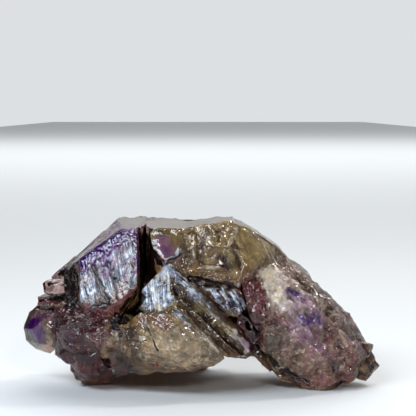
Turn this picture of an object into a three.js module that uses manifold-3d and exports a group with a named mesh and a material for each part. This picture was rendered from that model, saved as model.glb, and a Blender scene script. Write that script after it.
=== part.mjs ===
// A cluster of smoky amethyst (elestial quartz) lying on its side, in millimetres, +Z up.
// Many quartz crystals grew into one another and make one stone, so it is one closed solid:
// faceted blocks, hexagonal crystals and rounded granular lumps, joined, then cut by the
// open clefts and pits between them. +X runs along the stone, and the best side faces -Y.
import * as THREE from "three";
import { ConvexGeometry } from "three/addons/geometries/ConvexGeometry.js";
import { mergeVertices } from "three/addons/utils/BufferGeometryUtils.js";
import Module from "manifold-3d";

const wasm = await Module();
wasm.setup();

// Driving dimensions.
const floorHeight = 0; // the broken feet are flat here
const topHeight = 37.8; // front edge of the flat, frosted top
const topDepth = 13; // how far back the flat top reaches
const rhombSlope = 51.8; // degrees between a quartz rhomb face and the base
const headFaceAt = [-27.8, -9, 29.7]; // a point on the head crystal's large bright face
const headFaceSlope = [-0.385, 0.461]; // how its depth changes along X and along Z

// ---- making one solid ----

// A closed three.js geometry as a manifold solid.
function solidOf(geometry) {
  const bare = geometry.clone();
  bare.deleteAttribute("normal");
  bare.deleteAttribute("uv");
  const merged = mergeVertices(bare, 1e-4);
  return new wasm.Manifold(
    new wasm.Mesh({
      numProp: 3,
      vertProperties: merged.attributes.position.array,
      triVerts: new Uint32Array(merged.index.array),
    }),
  );
}

// A faceted block: the convex body through its corners, each corner as [x, y, z].
function block(...corners) {
  return solidOf(new ConvexGeometry(corners.map((corner) => new THREE.Vector3(...corner))));
}

// A quartz crystal: a six-sided prism of the given radius that grows from root to tip and
// ends in six rhomb faces. flat squashes the prism across its width, roll turns it on its axis.
function crystal(root, tip, radius, flat = 1, roll = 0) {
  const foot = new THREE.Vector3(...root);
  const along = new THREE.Vector3(...tip).sub(foot);
  const length = along.length();
  const point = Math.min(radius * Math.tan(THREE.MathUtils.degToRad(rhombSlope)) * 0.87, length * 0.7);
  const profile = [
    new THREE.Vector2(0, 0),
    new THREE.Vector2(radius, 0),
    new THREE.Vector2(radius, length - point),
    new THREE.Vector2(0, length),
  ];
  const geometry = new THREE.LatheGeometry(profile, 6);
  const turn = new THREE.Quaternion().setFromUnitVectors(new THREE.Vector3(0, 1, 0), along.normalize());
  const roller = new THREE.Quaternion().setFromAxisAngle(
    new THREE.Vector3(0, 1, 0),
    THREE.MathUtils.degToRad(roll),
  );
  geometry.applyQuaternion(roller);
  geometry.scale(1, 1, flat);
  geometry.applyQuaternion(turn);
  geometry.translate(...root);
  return solidOf(geometry);
}

// A rounded lump: a ball stretched to three half sizes, pushed in and out by soft waves
// so that no two lumps are alike, and turned about the vertical by lean degrees.
function lump(centre, halfSizes, lean = 0, wobble = 0.07) {
  const geometry = new THREE.IcosahedronGeometry(1, 2);
  const place = geometry.attributes.position;
  const v = new THREE.Vector3();
  for (let i = 0; i < place.count; i++) {
    v.fromBufferAttribute(place, i);
    const waves = Math.sin(3.1 * v.x + centre[0]) + Math.sin(3.7 * v.y + centre[2]) + Math.sin(4.3 * v.z);
    v.multiplyScalar(1 + wobble * 0.6 * waves);
    place.setXYZ(i, v.x * halfSizes[0], v.y * halfSizes[1], v.z * halfSizes[2]);
  }
  geometry.rotateY(THREE.MathUtils.degToRad(lean));
  geometry.translate(...centre);
  return solidOf(geometry);
}

// Everything in a list of solids joined into one.
function joined(solids) {
  return solids.reduce((all, next) => all.add(next));
}

// ---- the left end ----

// The head: a stout amethyst crystal whose bright, striated face looks left, up and forward.
function headCrystal() {
  const depth = (x, z) =>
    headFaceAt[1] + headFaceSlope[0] * (x - headFaceAt[0]) + headFaceSlope[1] * (z - headFaceAt[2]);
  const brightFace = [
    [-27.6, 30.6],
    [-18, 37.5],
    [-14.5, topHeight],
    [-14.3, 24.7],
    [-19.6, 20.8],
    [-26.1, 19.4],
    [-27.5, 20.8],
  ].map(([x, z]) => [x, depth(x, z), z]);
  return block(
    ...brightFace,
    [-33.1, -1, 25.5],
    [-31.9, -6, 19.6],
    [-33.2, 2, 26.4],
    [-20.3, 10, 38],
    [-16.1, 12, 38.8],
    [-13, 12, 38.6],
    [-13.2, -3, 37.6],
    [-24.6, -13, 16.9],
    [-19.8, -14, 16.6],
    [-14.2, -13, 21.5],
    [-13, 10, 14],
    [-28, 6, 14],
    [-32, 0, 17],
  );
}

// Low growth steps behind the head's bright face, along its slanting upper left edge.
function headSteps() {
  return joined([
    block(
      [-31, 3, 28.6], [-25, 6, 33.8], [-23.4, 7, 35.6], [-30.2, 9, 28.4], [-22, 12, 34], [-24, -6, 32.6],
      [-28.5, 0, 26],
    ),
    block(
      [-35.6, 1.6, 24.8], [-33.8, 1, 26.6], [-30, 3.5, 29.9], [-33.4, 6, 24], [-28, 10, 26],
      [-29, -5, 27.5], [-30, 0, 22],
    ),
  ]);
}

// Two small crystals stacked under the head's left edge.
function stackedCrystals() {
  return joined([
    block(
      [-36.2, -0.6, 24.5], [-31.4, -3.2, 25], [-31, -5.8, 23.6], [-30.8, -6.4, 21.6], [-35.4, -4.2, 21],
      [-36.8, -2.2, 21.8], [-37.3, 0.2, 23.6], [-34, -4.4, 23.6], [-37.4, 1.4, 22.4], [-36, 5, 24],
      [-30, 5, 26], [-35, 6, 20], [-29, 4, 20],
    ),
    block(
      [-38.7, 1, 20.3], [-31.2, -7, 21.3], [-30.6, -8, 19.2], [-38.6, -1, 18.6],
      [-36.5, 5, 21], [-30, 6, 20.5], [-38, 4, 17.5], [-31, 6, 17], [-36.6, -2, 17],
    ),
  ]);
}

// The rounded left tip, clear at its rim and deep violet inside.
function leftTip() {
  return block(
    [-42, 0, 13], [-41.5, -0.4, 10.3], [-40.2, -0.6, 9.1], [-38.8, -1, 8.1], [-35.3, -3, 7.4],
    [-40.8, 1, 16.7], [-38.9, 1, 18.4], [-32.5, -7, 18.8], [-32.4, -8, 10.4],
    [-39.4, -4.2, 13.4], [-36.4, -6.6, 16.2], [-37, -6.2, 10.2], [-34.4, -8, 13.6],
    [-40.4, 4.6, 13.4], [-37.4, 7.4, 16.8], [-36.4, 7, 8.4], [-30, 9, 12],
  );
}

// The reddish granular mass below the head, made of lumps that run together. Its lowest is a foot.
function leftLumps() {
  return joined([
    block(
      [-33.6, -8, 19], [-29.9, -10.4, 21], [-23.8, -14.2, 19], [-18.1, -15, 17.4], [-27.2, -16, 14.2],
      [-22.6, -17, 14.6], [-21, -17.2, 10.6], [-25.4, -15.2, 8.4], [-29.7, -13.2, 9.6], [-33, -11, 12.4],
      [-34.1, -5, 7.6], [-30.3, -9, 6], [-31.6, -11.6, 9.4], [-32, 2, 16], [-24, 2, 20], [-18, -4, 18],
      [-30, 2, 9], [-20, 0, 8],
    ),
    block(
      [-30.4, -8, 5.8], [-29.9, -7, 3.7], [-28.6, -6, 2.1], [-26.7, -6, 1.4], [-23.8, -6, 1.2],
      [-21.5, -7, 2.1], [-19.9, -8, 2.6], [-26, -11, 4.4], [-22.6, -11.4, 4.6], [-28.6, -13, 8.6],
      [-25, -13.8, 6.6], [-20.6, -13.4, 6.6], [-30.6, -2, 4.6], [-28, 0.5, -0.6], [-21.5, 0.5, -0.6],
      [-27.4, 8, -0.6], [-21.4, 8, -0.6], [-30, -2, 12], [-19, -2, 9], [-28.4, 9, 8], [-20, 9, 8],
    ),
    block(
      [-20.6, -15.4, 9.6], [-18.2, -15.8, 10], [-20, -14.4, 6], [-17, -13.4, 5], [-13.4, -12.6, 5.2],
      [-15.6, -16.4, 10], [-14, -16, 7.2], [-16.3, -10, 4.2], [-20, -8, 2.8], [-22, -11, 6.4],
      [-13, -6, 5.4], [-14, -8, 12], [-22, -8, 11],
    ),
    lump([-21.6, -12.8, 12], [3.8, 5, 4.4], 25),
    lump([-17.8, -12.2, 14], [4.2, 4.6, 4.6], -20),
    lump([-18.4, -13, 10.6], [3.6, 3.8, 3.6], 12),
    lump([-30, -9, 12.6], [3.6, 4.2, 4.2], 30),
    lump([-27, -10.2, 15.4], [5.2, 5, 4.6], -15),
    lump([-25.6, -9.6, 6.2], [4.2, 4.2, 3.2], 0),
    lump([-26, -11, 9.4], [5, 4.4, 3.4], 15),
  ]);
}

// ---- the middle ----

// The core: smoky quartz under the flat frosted top, with its front ledge.
function core() {
  return joined([
    block(
      [-12.4, -8.6, 37.6], [-2.5, -9.2, 37.4], [-8.1, -12, 30], [-12.6, -7, 26], [-2.4, -13.2, 27.2],
      [-13, -3, 37.4], [-14, topDepth, 38.4], [-2, topDepth, 37.6], [2, -6, 22], [-11, -6, 18],
      [-12, 15, 16], [4, 15, 16],
    ),
    block(
      [-5, -8, 37.2], [3.2, -9.6, 38.9], [7.1, -9.2, 39.5], [-3.2, -13, 27.4], [5.5, -13.4, 26.2],
      [8.9, -13.2, 24.2], [9.8, -10.2, 33], [-4, topDepth, 37.5], [7.5, topDepth, 38.5], [8, -6, 18],
      [-4, -6, 20], [9, 15, 18],
    ),
    block(
      [6.6, -8.6, 38.9], [11.3, -7, 37.2], [17.7, -4.4, 32.8], [15.2, -9.4, 29.2], [9.4, -12.8, 24.4],
      [11.8, -12.2, 20.2], [21.6, -2, 27.8], [7.4, topDepth, 38.3], [11.8, 11, 36.2], [18.2, 9, 32],
      [22, 8, 27.6], [20, -6, 16], [9, -6, 16], [20, 14, 14], [6, 15, 18],
    ),
  ]);
}

// The solid quartz between the front crystals and the back ones.
function heart() {
  return block(
    [-18, -7, 7.4], [11, -7, 9.6], [-18, 8, 8], [14, 8, 8], [-12.6, -7, 27], [9, -7, 25], [-13, 8, 30],
    [10, 8, 28],
  );
}

// The small crystal end on the core's face, pointing down to the slanting crystal's apex.
function pendantFace() {
  return block(
    [-12, -9.6, 36.2], [-4.2, -10.2, 36], [-3.8, -11.4, 31.6], [-7.9, -13.4, 29.6], [-10.6, -11.8, 32],
    [-11.6, -5, 35], [-4, -5, 35], [-8, -6, 28],
  );
}

// The slanting crystal in front: its rhomb end points up to the left and its prism runs
// down to the right, with a bright left face, a narrow bright edge face and a dark front.
function slantingCrystal() {
  return block(
    [-7.6, -13, 29.8], [-13.6, -15, 23.8], [-13.5, -17, 19.8], [-7.9, -18.1, 19.4], [-6.8, -15.5, 25.4],
    [-5.8, -12, 29.5], [2.1, -13, 22.2], [8.9, -14, 14.9], [12.3, -13.6, 9.9],
    [-5, -14.6, 26.4], [0.9, -15.6, 20.2], [7.7, -16, 13.2], [11, -15.4, 9],
    [-3.9, -19, 17.4], [1, -19.2, 13.8], [5.4, -18.2, 9.4], [10, -14, 8.2],
    [-8, -4, 27], [4, -4, 23], [13.4, -6, 11], [8, -6, 8.4], [-11, -6, 18],
  );
}

// The growth grooves along the slanting crystal's front, and the pit at their upper end.
function slantingGrooves() {
  const groove = (start, end, width, depth) => {
    const [x0, y0, z0] = start;
    const [x1, y1, z1] = end;
    const half = width * 0.35;
    return block(
      [x0 - half, y0 - 3, z0 - half], [x0 + half, y0 - 3, z0 + half], [x0, y0 + depth, z0],
      [x1 - half, y1 - 3, z1 - half], [x1 + half, y1 - 3, z1 + half], [x1, y1 + depth, z1],
      [x0 - half, y0, z0 - half], [x0 + half, y0, z0 + half],
      [x1 - half, y1, z1 - half], [x1 + half, y1, z1 + half],
    );
  };
  return joined([
    groove([-5.6, -16.2, 24.8], [9.4, -16.4, 10.2], 2.6, 1.7),
    groove([-4.8, -17.2, 21.4], [6.8, -17.4, 10], 2.2, 1.5),
    groove([-1.2, -15.4, 22], [9, -15.6, 12.6], 1, 0.8),
    groove([-4.2, -18.2, 18.8], [4, -18.6, 11.4], 1.1, 0.7),
    block(
      [-7, -19, 25.6], [-2.4, -19, 21.4], [-3.4, -19, 25.4], [-6, -19, 21.6],
      [-6, -14.4, 25], [-3.4, -14.6, 22.4], [-4, -14.4, 24.6], [-5.4, -14.8, 22.6],
    ),
  ]);
}

// The pale rounded lump in front, below the slanting crystal.
function frontLump() {
  return joined([
    block(
      [-13.5, -17, 19.3], [-7.9, -18.8, 19.2], [-3.9, -19.8, 17], [1, -20, 13.2], [5.4, -18.4, 9],
      [2.8, -16.6, 7], [-1.7, -16.6, 5.7], [-7.6, -16.6, 5.4], [-12.6, -15.6, 5.8], [-18, -14.6, 8.4],
      [-17.7, -14.6, 15.7], [-15.6, -17, 16.6], [-16, -18, 11.6], [-9, -21.6, 14.6], [-7.4, -22, 11.4],
      [-12.6, -20.4, 9.4], [-2, -21.2, 11.6], [-5, -20.4, 7.6], [1.4, -19.2, 8.6], [-14, -19, 15],
      [-12, -6, 5], [4, -6, 7.4], [-10, -6, 16], [2, -6, 14],
    ),
    lump([-13.6, -12.4, 8.2], [4.8, 6, 3.8], 10),
  ]);
}

// The sparkling blue-white crystal end tucked under the core's ledge.
function sparklingEnd() {
  return joined([
    block(
      [-2, -11.2, 26.4], [4.4, -11.2, 26], [4, -14, 20.6], [1, -13.6, 23.2], [-1, -12.4, 25.2],
      [-2, -5, 26], [5, -5, 25], [4, -5, 17],
    ),
    block(
      [3.6, -11.2, 26], [8.9, -12, 23.8], [10.4, -13.2, 19.9], [8.4, -14.8, 18], [6, -14.6, 18.4],
      [3.6, -14.4, 21.4], [3.2, -12.8, 24.4], [4, -5, 25], [10, -5, 22], [10, -5, 15], [5, -5, 15],
    ),
  ]);
}

// ---- the right end ----

// The mauve crystals between the sparkling end and the right lobe.
function mauveCrystal() {
  return joined([
    block(
      [9.4, -12, 24.6], [14, -10.6, 27.6], [15.4, -11, 25], [14.4, -13.8, 21.6], [14.4, -14.4, 16.4],
      [10.6, -13.8, 18.6], [11.6, -13.6, 15.8], [13.8, -13.2, 13.4], [11, -3, 25], [16, -3, 24], [15, -3, 12],
    ),
    block(
      [8.2, -13, 18.6], [10.6, -12.8, 17.4], [12.6, -12.8, 13.4], [12.2, -12.6, 11.2], [8, -12.6, 12.6],
      [7, -4, 20], [13, -4, 18], [13, -4, 10.6], [7, -4, 11],
    ),
  ]);
}

// The right lobe: a thick slab of granular amethyst that slopes down to the right.
function rightLobe() {
  return joined([
    block(
      [12, -7.4, 31], [15.1, -9.2, 29.2], [13.6, -11.4, 26.6], [13.4, -13.4, 21.6], [14, -13.6, 16.2],
      [19, -13.8, 21], [21.6, -13.4, 14], [24.3, 5, 27.6], [21.9, 5.4, 28.2], [20, 1, 29.6],
      [26, 4.6, 25.4], [28.6, -8, 19.4], [27, 12, 18], [18, 12, 14], [27, -10, 10], [16, -8, 10],
    ),
    block(
      [13.9, -13.4, 11.4], [16.4, -13.2, 7.8], [19.2, -11.4, 3.8], [22.3, -10.6, 3.2], [25.4, -9.6, 0.8],
      [29.2, -8.4, -0.6], [17, -13.6, 18], [24, -14, 15], [28.4, -13.2, 9.6], [33.4, -7.4, 1.4],
      [31.1, 3, 19.5],
      [35.3, 1.6, 15.6], [33, -9, 9], [27, 4, 24], [26, -8, 22.4], [24, 12, 14], [33, 8, 8],
      [25, 6, -0.6], [31, 4, -0.6], [20, 8, 6],
    ),
    block(
      [28, -12.6, 9], [33.4, -8.6, 1.8], [36.3, -5.6, 2.1], [36.6, -8, 6.6], [34, -9.6, 10.6],
      [40.4, -2, 7], [38.8, -1, 9.6], [37.6, 0.6, 11.9], [35.3, 1.8, 15.4], [33, -4, 15.6],
      [36, 7, 9], [34, 6, 2.4], [38.6, 3, 4.4], [29, 4, 6],
    ),
    // Long crystals lying side by side, all sloping down to the right.
    crystal([13, -5.4, 29], [27.6, -11.6, 13.2], 4, 0.8, 8),
    crystal([17.6, -1.4, 27.6], [34, -5.4, 11], 4, 0.8, 20),
    crystal([15, -9, 19], [30, -11.4, 4.6], 4.4, 0.8, 0),
    crystal([23, -6, 18], [37, -6.6, 4.4], 4.4, 0.8, 35),
    lump([27.4, -4.6, 3.6], [6.6, 7, 4.6], 14),
    lump([33.2, -4.2, 4.6], [4.6, 5.4, 3.6], -12),
    lump([23.4, -8.8, 6.8], [4.6, 5, 4.6], 30),
    lump([18.8, -9.8, 9.2], [4, 4.4, 5], 25),
  ]);
}

// The small crystals at the far right tip, the last one hooked downwards.
function rightTip() {
  return joined([
    block(
      [36.4, -3.6, 10.6], [39.2, -3, 9.8], [40.7, -0.6, 9.3], [39, -4.6, 6.4], [36, -6, 6.6],
      [40.6, 2.6, 7.6], [37, 4, 10], [36, 2, 5],
    ),
    block(
      [41.8, -3, 4.6], [40.6, -5, 4.4], [38.3, -5.4, 1.3], [36.2, -6, 2], [37, -6.6, 5.6], [39.8, -3.6, 8],
      [40.4, 0.6, 4.2], [38.4, 1, 1.8], [36, 1, 3], [37, 2, 7],
    ),
    crystal([34.4, -6, 6], [39.6, -6.2, 3.2], 1.7, 0.8, 15),
  ]);
}

// The rounded lump beside the open gap, and the dark blade under it along the lobe's lower edge.
function gapNeighbours() {
  return joined([
    lump([15.6, -11.4, 12.6], [3.4, 4.4, 4.8], 20),
    block(
      [10.6, -9, 8.8], [12.6, -9, 7], [17.2, -9, 3.2], [19, -9, 1.6], [20.8, -9, 1.8], [22, -9, 3.6],
      [12, -8, 11], [16, -9, 11.4], [21, -9, 8], [12.6, 0, 8.4], [18.4, -2, 2.6], [21, 0, 3], [22, 2, 9],
      [13, 0, 13],
    ),
  ]);
}

// ---- the back ----

// The body behind the core, with stout crystals that end on the far side and a broad base.
function back() {
  return joined([
    block(
      [-20, 9, 37.6], [-2, topDepth, 37.4], [7.5, topDepth, 38.2], [18, 10, 31], [-31, 5, 25], [-23, 13, 24],
      [-11, 16, 28], [7, 16, 28], [20, 12, 20], [-32, 4, 12], [-24, 10, 7], [-8, 14, 8], [15, 11, 8],
      [-12, 2, 8], [14, 0, 9],
    ),
    crystal([-7, 2, 18], [-20, 18.6, 28.6], 10, 0.85, 12),
    crystal([2, 0, 18], [10, 20.4, 29.4], 10.4, 0.8, 40),
    crystal([-2, 0, 14], [-3, 22, 16], 10, 0.8, 5),
    crystal([-12, 0, 14], [-30, 15.6, 15.4], 8.6, 0.9, 22),
    crystal([8, 0, 16], [24.6, 17, 17.4], 9, 0.9, 50),
    crystal([12, 0, 12], [25.4, 14.6, 4.6], 6.6, 0.8, 30),
    crystal([4, 2, 13], [10.6, 20.4, 7.4], 6.6, 0.9, 0),
    block(
      [-21, 15.6, -0.6], [-8, 15.2, -0.6], [0.6, 16.4, -0.6], [1.4, 18.6, -0.6], [-6, 20.6, -0.6],
      [-19, 20, -0.6], [-25, 8, 10], [4, 8, 10], [-25.4, 14.6, 9], [4.6, 18.6, 9], [-8, 21.6, 6],
      [-19, 20.4, 8],
    ),
  ]);
}

// ---- what is open ----

// The clefts, gaps and pits between the crystals.
function openings() {
  return joined([
    // The deep cleft between the head and the core.
    block(
      [-14.6, -22, 38.6], [-12.2, -22, 38.6], [-14.4, -22, 24.2], [-9.4, -22, 30.4], [-13.6, -5, 38.6],
      [-12.6, -5, 38.6], [-13.4, -6, 25.6], [-12.2, -6, 30.6],
    ),
    // The slanting seam under the head's face.
    block(
      [-20.4, -24, 15.6], [-18.8, -24, 14.8], [-13.6, -24, 24.6], [-14.8, -24, 24.9], [-17.8, -11, 18],
      [-14.8, -11, 22.6],
    ),
    // The pit at the lower end of the mauve crystal.
    block(
      [9.4, -20, 17.2], [11.9, -20, 17], [11.8, -20, 14], [9.4, -20, 14.4], [10.4, -9.4, 16.2],
      [11, -9.4, 14.9],
    ),
    // The open gap between the slanting crystal and the right lobe.
    block(
      [12, -26, 11.4], [13, -26, 11.8], [17.8, -26, 3.4], [16.2, -26, 3.2], [12.2, -8, 11], [13, -8, 11],
      [17.4, -8, 3.6], [16.6, -8, 3.4],
    ),
    // The cleft in the left lumps.
    block(
      [-23.8, -24, 8.8], [-22.6, -24, 9.2], [-18.4, -24, 3.6], [-19.8, -24, 2.8], [-22.2, -10.4, 7.6],
      [-19.4, -10.4, 4.2],
    ),
    // The shallow, flat-floored recess in the core's face, and the slits beside it.
    block(
      [-0.4, -17, 34.6], [5.6, -17, 34.2], [5.8, -17, 28.4], [-0.2, -17, 28.8], [0.4, -10.6, 33.6],
      [4.8, -10.6, 33.2], [4.9, -11.4, 29.4], [0.6, -11.4, 29.6],
    ),
    block(
      [-1.4, -16, 33], [-0.6, -16, 32.8], [-1, -16, 29.4], [-1.1, -10, 32], [-1, -10, 30.6],
    ),
    block(
      [-5.6, -16, 32.6], [-4.6, -16, 32.2], [-6.8, -16, 30], [-5.4, -10.6, 31.8], [-6.2, -10.8, 30.8],
    ),
  ]);
}

// ---- the stone ----

const grown = joined([
  headCrystal(),
  headSteps(),
  stackedCrystals(),
  leftTip(),
  leftLumps(),
  core(),
  heart(),
  pendantFace(),
  frontLump(),
  sparklingEnd(),
  mauveCrystal(),
  rightLobe(),
  rightTip(),
  gapNeighbours(),
  back(),
  slantingCrystal().subtract(slantingGrooves()),
]);
const opened = grown.subtract(openings()).trimByPlane([0, 0, 1], floorHeight);

// The stone is solid inside: only the outer shell is kept, without the gaps sealed between blocks.
const shells = opened.decompose();
const stone = shells.reduce((largest, next) => (next.volume() > largest.volume() ? next : largest));

const made = stone.getMesh();
const geometry = new THREE.BufferGeometry();
geometry.setAttribute("position", new THREE.BufferAttribute(made.vertProperties, 3));
geometry.setIndex(new THREE.BufferAttribute(made.triVerts, 1));
geometry.computeBoundingBox();
const middle = geometry.boundingBox.getCenter(new THREE.Vector3());
geometry.translate(-middle.x, -middle.y, -geometry.boundingBox.min.z);
geometry.computeVertexNormals();

const amethyst = new THREE.Mesh(
  geometry,
  new THREE.MeshStandardMaterial({ color: 0x8a7468, roughness: 0.25, metalness: 0, flatShading: true }),
);
amethyst.name = "amethyst_cluster";

const group = new THREE.Group();
group.add(amethyst);
export default group;
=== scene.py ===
import math

import bpy
import numpy as np
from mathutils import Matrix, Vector


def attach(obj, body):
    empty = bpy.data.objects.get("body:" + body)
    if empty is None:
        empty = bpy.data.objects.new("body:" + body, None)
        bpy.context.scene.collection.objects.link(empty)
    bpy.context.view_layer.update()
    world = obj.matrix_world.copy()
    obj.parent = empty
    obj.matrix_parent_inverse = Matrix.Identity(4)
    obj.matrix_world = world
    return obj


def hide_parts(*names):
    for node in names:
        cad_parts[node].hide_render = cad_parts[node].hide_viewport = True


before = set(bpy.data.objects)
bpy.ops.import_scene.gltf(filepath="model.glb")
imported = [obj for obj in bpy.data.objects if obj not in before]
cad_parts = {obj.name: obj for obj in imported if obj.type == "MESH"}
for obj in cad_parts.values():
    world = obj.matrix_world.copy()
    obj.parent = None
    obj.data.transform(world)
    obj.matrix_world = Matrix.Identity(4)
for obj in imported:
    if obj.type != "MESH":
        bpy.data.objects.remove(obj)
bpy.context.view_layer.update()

mm = 0.001
scene = bpy.context.scene
scene.view_settings.view_transform = "Standard"


# ---- the stone's skin ----
# One stone of smoky amethyst: many quartz crystals that grew into one another. Its flat faces are
# glassy, with fine growth steps, and the lumps between them are granular. The solid of the frame
# is cut into fine triangles, its lumps are rounded, and growth relief is pushed in and out of it.

def merged_triangles(node):
    """The node's triangles in metres with its loose corners joined: one row of points and one of
    corner numbers, found by rounding each corner to a hundredth of a micrometre."""
    mesh = node.data
    mesh.calc_loop_triangles()
    corners = np.empty(len(mesh.vertices) * 3)
    mesh.vertices.foreach_get("co", corners)
    triangles = np.empty(len(mesh.loop_triangles) * 3, dtype=np.int32)
    mesh.loop_triangles.foreach_get("vertices", triangles)
    places, number = np.unique(np.round(corners.reshape(-1, 3), 8), axis=0, return_inverse=True)
    triangles = number.reshape(-1)[triangles].reshape(-1, 3)
    whole = (triangles[:, 0] != triangles[:, 1]) & (triangles[:, 1] != triangles[:, 2])
    whole &= triangles[:, 0] != triangles[:, 2]
    return places, triangles[whole]


def split_long_edges(points, triangles, longest, most_passes=12):
    """Halves every edge longer than the limit that holds at its middle and cuts the triangles
    beside it in two, three or four, over and over, so neighbours share their new corners."""
    for _ in range(most_passes):
        sides = np.stack([triangles, np.roll(triangles, -1, axis=1)], axis=2)
        sides = np.sort(sides.reshape(-1, 2), axis=1)
        edges, edge_of = np.unique(sides, axis=0, return_inverse=True)
        edge_of = edge_of.reshape(-1, 3)
        length = np.linalg.norm(points[edges[:, 0]] - points[edges[:, 1]], axis=1)
        long = length > longest(points[edges].mean(axis=1))
        if not long.any():
            break
        middle = np.full(len(edges), -1)
        middle[long] = len(points) + np.arange(long.sum())
        points = np.vstack([points, points[edges[long]].mean(axis=1)])
        cut = middle[edge_of]
        count = (cut >= 0).sum(axis=1)
        made = [triangles[count == 0]]
        for wanted in (1, 2, 3):
            # Corners a, b and d, and the new corners ab, bd and da between them.
            corners = triangles[count == wanted]
            halves = cut[count == wanted]
            if wanted == 3:
                a, b, d, ab, bd, da = *corners.T, *halves.T
                parts = [(a, ab, da), (ab, b, bd), (da, bd, d), (ab, bd, da)]
            else:
                # Turn each triangle until its first side is cut, and its last is whole.
                is_cut = halves >= 0
                first = np.where(is_cut[:, 0], 0, np.where(is_cut[:, 1], 1, 2))
                if wanted == 2:
                    first = np.where(is_cut[:, 0] & is_cut[:, 2], 2, first)
                order = (first[:, None] + np.arange(3)) % 3
                a, b, d = np.take_along_axis(corners, order, 1).T
                ab, bd, _ = np.take_along_axis(halves, order, 1).T
                if wanted == 1:
                    parts = [(a, ab, d), (ab, b, d)]
                else:
                    parts = [(a, ab, d), (ab, bd, d), (ab, b, bd)]
            made += [np.stack(part, axis=1) for part in parts]
        triangles = np.vstack(made)
    return points, triangles


def corner_normals(points, triangles):
    """The outward direction at each corner: the sum of its triangles' cross products, made unit."""
    a, b, c = (points[triangles[:, k]] for k in range(3))
    face = np.cross(b - a, c - a)
    corner = triangles.ravel()
    sums = [np.bincount(corner, np.repeat(face[:, k], 3), len(points)) for k in range(3)]
    total = np.stack(sums, axis=1)
    return total / np.maximum(np.linalg.norm(total, axis=1, keepdims=True), 1e-20)


def relaxed(points, triangles, amount, times):
    """Moves each corner a share of the way to the middle of its neighbours, then nearly as far
    back, times over, which rounds edges and keeps the size."""
    a, b = np.vstack([triangles[:, [0, 1]], triangles[:, [1, 2]], triangles[:, [2, 0]]]).T
    neighbours = np.bincount(a, minlength=len(points))[:, None]
    there, back = 1, -0.96
    for step in np.tile([there, back], times):
        sums = [np.bincount(a, points[b, k], len(points)) for k in range(3)]
        middle = np.stack(sums, axis=1) / neighbours
        points = points + step * amount[:, None] * (middle - points)
    return points


def scattered(at, seed=0):
    """A random whole number of 32 bits for each cell of a cubic grid: its three counts and the
    seed times large odd numbers, combined bit by bit, then mixed twice with their own high bits."""
    number = (at[:, 0] * 73856093) ^ (at[:, 1] * 19349663) ^ (at[:, 2] * 83492791) ^ (seed * 40503)
    number = ((number ^ (number >> 13)) * 1274126177) & 0xFFFFFFFF
    return ((number ^ (number >> 15)) * 2246822519) & 0xFFFFFFFF


def soft_noise(points, size, seed):
    """Smooth noise between about -1 and 1: random slopes on the corners of a cubic grid of the
    given size, each times the distance from its corner, blended with a fifth-power curve and
    stretched to fill the range. The seed shifts the grid."""
    seed_shift, to_fill = 17.31, 1.4
    place = points / size + seed * seed_shift
    cell = np.floor(place).astype(np.int64)
    part = place - cell
    ease = part**3 * (part * (part * 6 - 15) + 10)
    total = np.zeros(len(points))
    for corner in np.ndindex(2, 2, 2):
        at = cell + corner
        number = scattered(at)
        slope = np.stack([(number >> shift) & 1023 for shift in (2, 12, 21)], axis=1) / 511.5 - 1
        weight = np.prod(np.where(corner, ease, 1 - ease), axis=1)
        total += weight * np.sum(slope * (part - corner), axis=1)
    return total * to_fill


# The lumps' small crystals all grew one way. Quartz's end faces lean from that way by this angle.
growth_axis = np.array((-0.6, -0.25, 0.76))
rhomb_slope = math.radians(51.8)


def quartz_planes(axis):
    """The outward directions of three prism faces and six rhomb faces round an axis, as columns:
    the prism's stand square to it and are a little short, which makes it a little stouter, and
    the rhomb faces' lean from it by the rhomb slope."""
    prism_share = 0.9
    axis = axis / np.linalg.norm(axis)
    side = np.cross(axis, (0, 1, 0))
    side /= np.linalg.norm(side)
    other = np.cross(axis, side)
    turn = np.radians(np.arange(0, 360, 60))[:, None]
    round_it = np.cos(turn) * side + np.sin(turn) * other
    rhombs = math.cos(rhomb_slope) * axis + math.sin(rhomb_slope) * round_it
    return np.vstack([round_it[:3] * prism_share, rhombs]).T


def parallel_growth(points, size, seed):
    """Small crystals of about the given size that all grew the same way: the height of the
    tallest one at each point, in sizes, and a random number of its own. Each stands on a point
    scattered in its cell of a cubic grid and falls away by its largest plane distance."""
    seed_shift, uneven, lowest = 7.13, 0.3, -9.0
    planes = quartz_planes(growth_axis)
    place = points / size + seed * seed_shift
    cell = np.floor(place).astype(np.int64)
    tallest = np.full(len(points), lowest)
    mark = np.zeros(len(points))
    for step in np.ndindex(3, 3, 3):
        at = cell + step - 1
        number = scattered(at, seed)
        spot = at + np.stack([(number >> shift) & 1023 for shift in (1, 11, 21)], axis=1) / 1023
        rise = uneven * ((number >> 5) & 255) / 255 - np.abs((place - spot) @ planes).max(axis=1)
        mark = np.where(rise > tallest, (number & 4095) / 4095, mark)
        tallest = np.maximum(tallest, rise)
    return tallest, mark


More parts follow.
